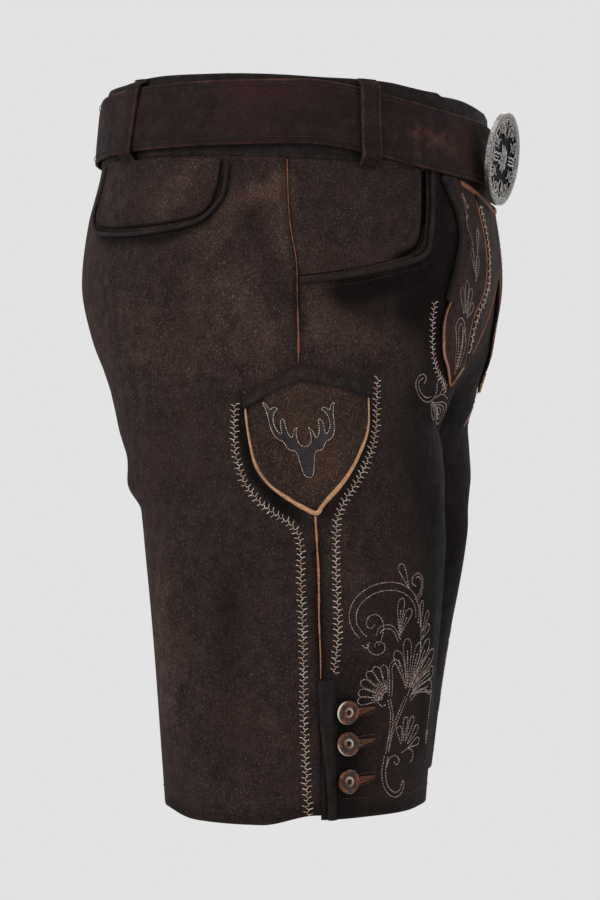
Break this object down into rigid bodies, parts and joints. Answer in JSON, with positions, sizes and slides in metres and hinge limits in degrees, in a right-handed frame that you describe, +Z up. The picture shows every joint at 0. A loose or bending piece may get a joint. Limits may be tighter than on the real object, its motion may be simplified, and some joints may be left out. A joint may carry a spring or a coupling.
{
  "type": "leather lederhosen with belt, filled out as if worn",
  "caption": "Knee-length leather lederhosen with fly flap, side knife pocket, buttoned leg slits and a belt with an oval plate buckle.",
  "frame": {"origin": "middle of the waist, half way up the belt", "axes": "+Z up, the front faces -Y, the wearer's right side is -X"},
  "size_m": [0.4008, 0.3303, 0.5311],
  "materials": {
    "leather": "dark brown waxed deer leather with golden brown rub",
    "leather_dark": "near-black brown leather cord and trim",
    "tan_edge": "raw tan leather edge",
    "suede": "charcoal suede",
    "belt": "dark wine-brown nubuck",
    "silver": "antique silver with dark hollows",
    "horn": "polished brown and amber horn"
  },
  "bodies": {
    "root": {"back_left": "leather", "back_pocket": "leather", "back_pocket_piping": "leather_dark", "back_right": "leather", "belt": "belt", "belt_loop_back_left": "leather_dark", "belt_loop_back_right": "leather_dark", "belt_loop_front_left": "leather_dark", "belt_loop_front_right": "leather_dark", "buckle_bar": "silver", "buckle_plate": "silver", "button_left_1": "horn", "button_left_2": "horn", "button_left_3": "horn", "button_right_1": "horn", "button_right_2": "horn", "button_right_3": "horn", "buttonhole_left_1": "tan_edge", "buttonhole_left_2": "tan_edge", "buttonhole_left_3": "tan_edge", "buttonhole_right_1": "tan_edge", "buttonhole_right_2": "tan_edge", "buttonhole_right_3": "tan_edge", "flap": "leather", "flap_binding_foot": "tan_edge", "flap_binding_top": "tan_edge", "flap_roll_left": "leather_dark", "flap_roll_right": "leather_dark", "flap_strip_left": "leather", "flap_strip_right": "leather", "front_left": "leather", "front_pocket_piping_left": "leather_dark", "front_pocket_piping_right": "leather_dark", "front_right": "leather", "hip_facing_left": "leather", "hip_facing_right": "leather", "placket_left": "leather_dark", "placket_right": "leather_dark", "shield_band": "leather_dark", "shield_binding": "tan_edge", "shield_face": "leather", "side_piping_left": "tan_edge", "side_piping_right_lower": "tan_edge", "side_piping_right_upper": "tan_edge", "stag_head": "suede", "strip_binding_left": "tan_edge", "strip_binding_right": "tan_edge", "waistband_left": "leather", "waistband_right": "leather"}
  },
  "joints": []
}
